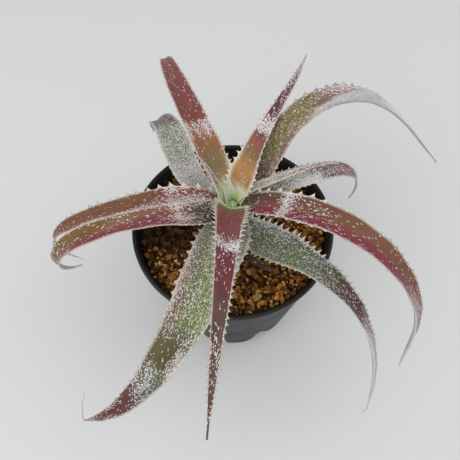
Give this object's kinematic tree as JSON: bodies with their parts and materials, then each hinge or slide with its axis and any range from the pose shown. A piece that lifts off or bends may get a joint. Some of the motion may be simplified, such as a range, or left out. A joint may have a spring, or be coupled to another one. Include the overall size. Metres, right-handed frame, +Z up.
{
  "type": "potted orthophytum hybrid",
  "caption": "Spiny bromeliad rosette with long arching channelled leaves, rooted in clay granules in a round black nursery pot.",
  "frame": {"origin": "centre of the pot's underside", "axes": "+Z up along the pot's axis, -Y towards the front of the plant as pictured, +X to the picture's right"},
  "size_m": [0.2178, 0.2114, 0.1498],
  "materials": {
    "pot": "black moulded plastic, slightly glossy",
    "soil": "dry baked clay granules, reddish brown",
    "stem": "green-brown leafy stem",
    "leaf": "firm leaf, maroon to olive with white scurf and pale spines",
    "dry_leaf": "withered brown leaf"
  },
  "bodies": {
    "root": {"pot": "pot", "soil": "soil", "stem": "stem", "heart_leaf_back": "leaf", "heart_leaf_right": "leaf", "leaf_young_right": "leaf", "heart_leaf_left": "leaf", "leaf_young_left": "leaf", "leaf_front": "leaf", "leaf_back_right_upper": "leaf", "leaf_back_left_upper": "leaf", "leaf_right": "leaf", "leaf_left_near": "leaf", "leaf_left_far": "leaf", "leaf_right_short": "leaf", "leaf_back_right_long": "leaf", "leaf_back_left_lower": "leaf", "leaf_front_left": "leaf", "leaf_front_right": "leaf", "leaf_dried": "dry_leaf"}
  },
  "joints": []
}
